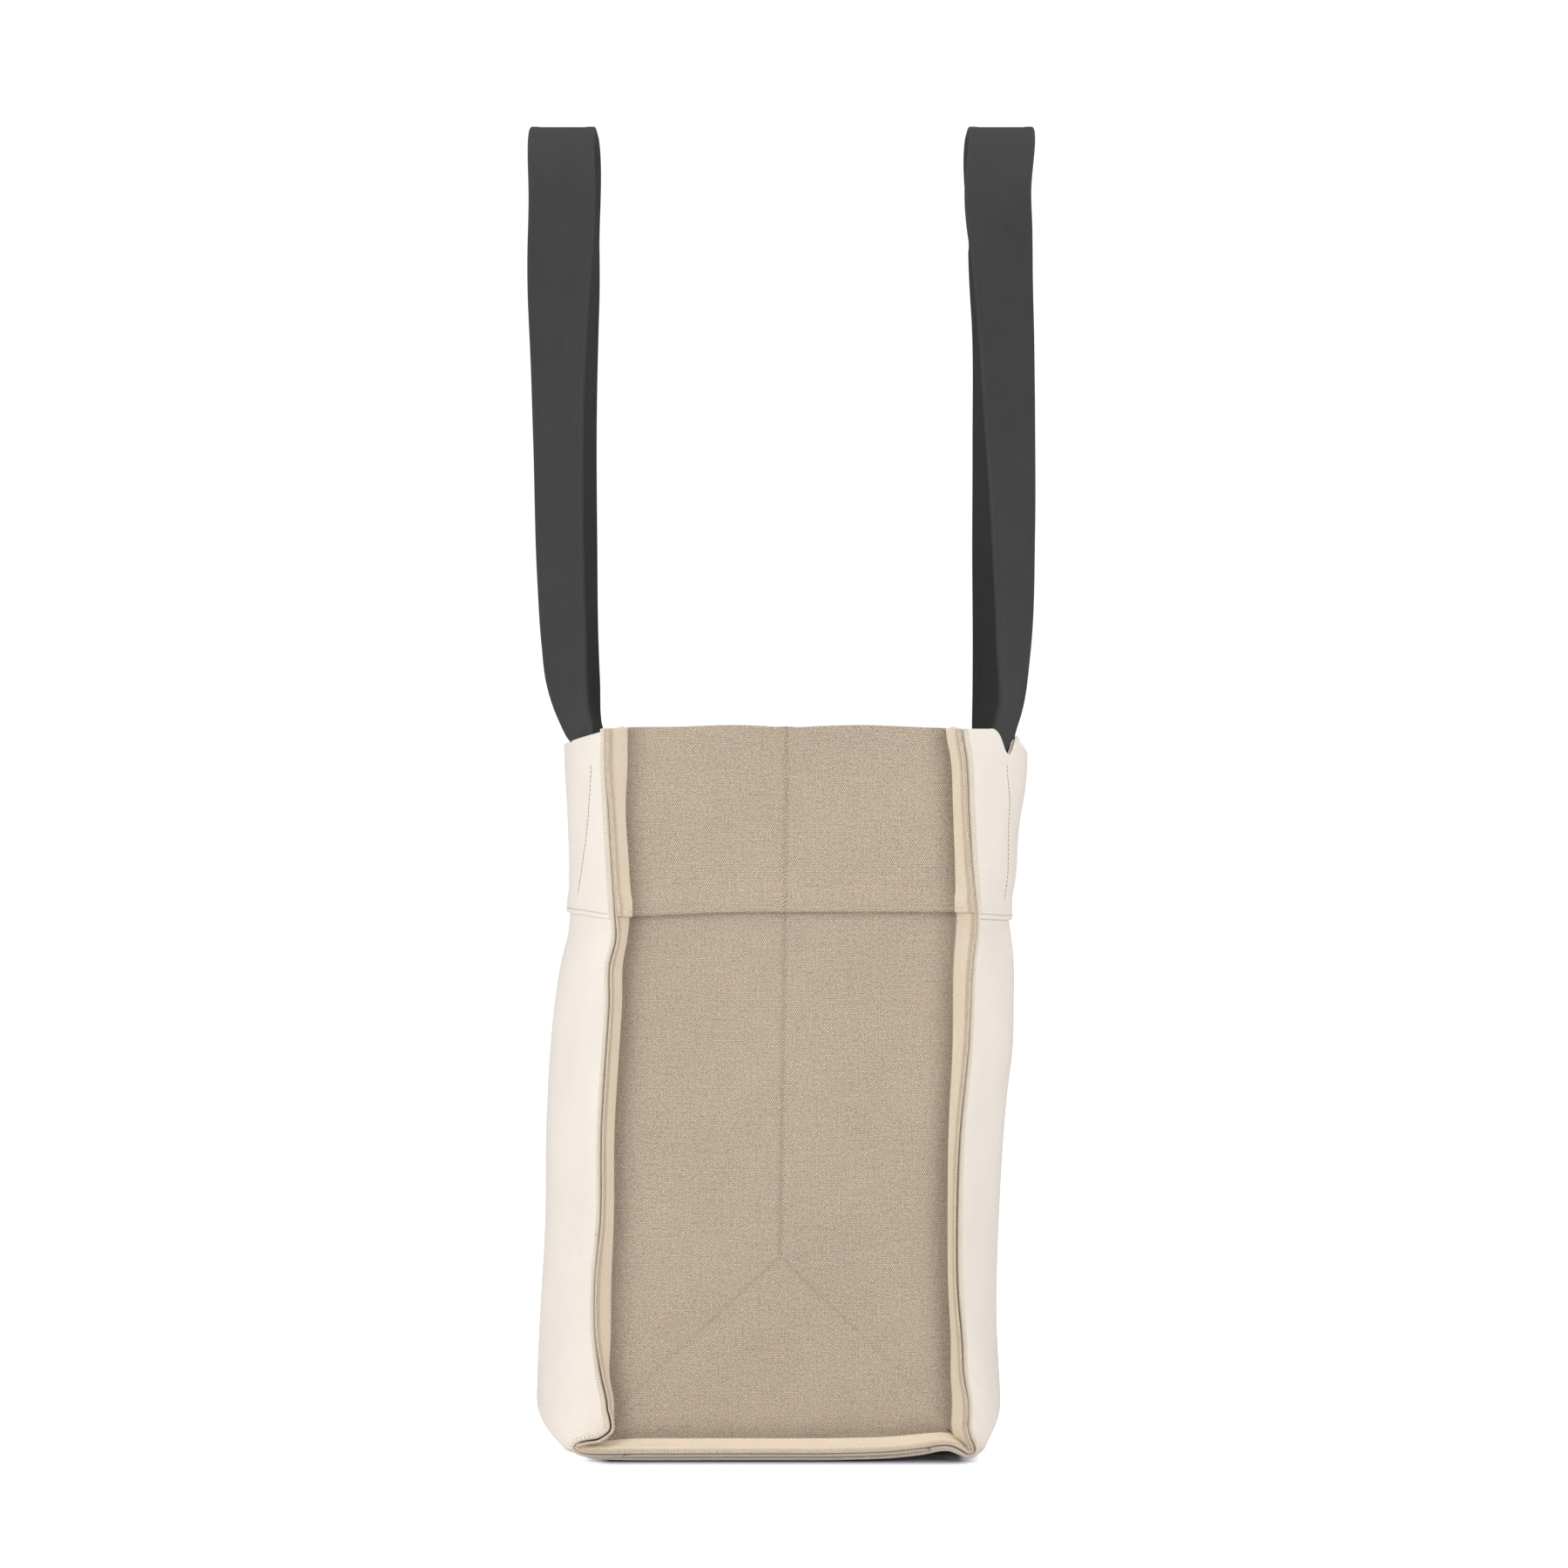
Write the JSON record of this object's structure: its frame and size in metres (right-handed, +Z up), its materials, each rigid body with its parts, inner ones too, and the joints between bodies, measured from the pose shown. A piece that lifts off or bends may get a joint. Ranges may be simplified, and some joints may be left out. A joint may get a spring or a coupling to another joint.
{
  "type": "canvas tote bag",
  "caption": "Open canvas tote bag with boxed gussets, raised seams, a deep top band and tall strap handles that fold outwards and inwards.",
  "frame": {"origin": "on the floor under the middle of the bag", "axes": "+Z up, +X out of the back main panel, +Y out of the left gusset; the front panel faces -X and the right gusset -Y"},
  "size_m": [0.292, 0.334, 0.753],
  "materials": {
    "cream_canvas": "matt plain weave",
    "charcoal_canvas": "matt plain weave"
  },
  "bodies": {
    "bag": {"front_panel": "cream_canvas", "back_panel": "cream_canvas", "right_gusset": "cream_canvas", "left_gusset": "cream_canvas", "front_top_band": "cream_canvas", "back_top_band": "cream_canvas", "right_gusset_top_band": "cream_canvas", "left_gusset_top_band": "cream_canvas", "base_panel": "cream_canvas", "base_reinforcement": "cream_canvas", "front_handle_tail_right": "charcoal_canvas", "front_handle_tail_left": "charcoal_canvas", "back_handle_tail_right": "charcoal_canvas", "back_handle_tail_left": "charcoal_canvas"},
    "front_loop": {"front_handle": "charcoal_canvas"},
    "back_loop": {"back_handle": "charcoal_canvas"}
  },
  "joints": [
    {"name": "front_handle_fold", "type": "hinge", "parent": "bag", "child": "front_loop", "pos_m": [-0.129, 0, 0.404], "axis": [0, -1, 0], "range_deg": [-18, 165]},
    {"name": "back_handle_fold", "type": "hinge", "parent": "bag", "child": "back_loop", "pos_m": [0.139, 0, 0.404], "axis": [0, 1, 0], "range_deg": [-18, 165]}
  ]
}
